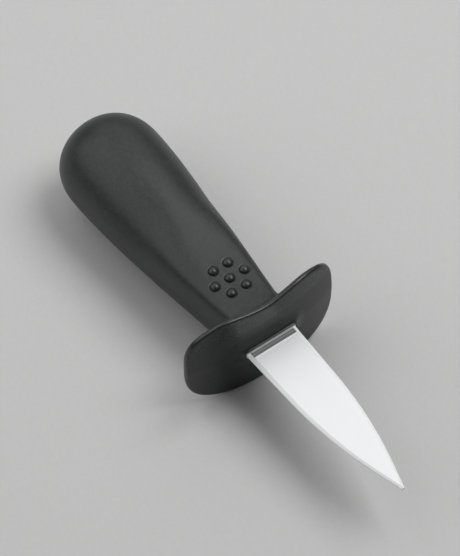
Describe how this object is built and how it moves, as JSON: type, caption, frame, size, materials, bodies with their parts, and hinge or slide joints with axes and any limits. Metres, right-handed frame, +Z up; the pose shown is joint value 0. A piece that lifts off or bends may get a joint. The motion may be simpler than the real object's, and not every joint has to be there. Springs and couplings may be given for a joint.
{
  "type": "oyster knife",
  "caption": "Short lancet blade in a moulded handle with a bulbous butt, a swept oval hand guard and a patch of domed thumb pips, for prising shellfish open.",
  "frame": {"origin": "middle of the knife's length and width, on the surface that it lies on", "axes": "+X along the blade towards its point, +Z up, +Y across the guard"},
  "size_m": [0.16, 0.0534, 0.0357],
  "materials": {
    "blade_steel": "satin ground faces with bright polished edge bevels",
    "core_plastic": "plain moulded, out of sight",
    "grip_moulding": "black, fine spark-eroded mould texture, soft sheen"
  },
  "bodies": {
    "root": {"blade": "blade_steel", "tang_core": "core_plastic", "handle": "grip_moulding"}
  },
  "joints": []
}
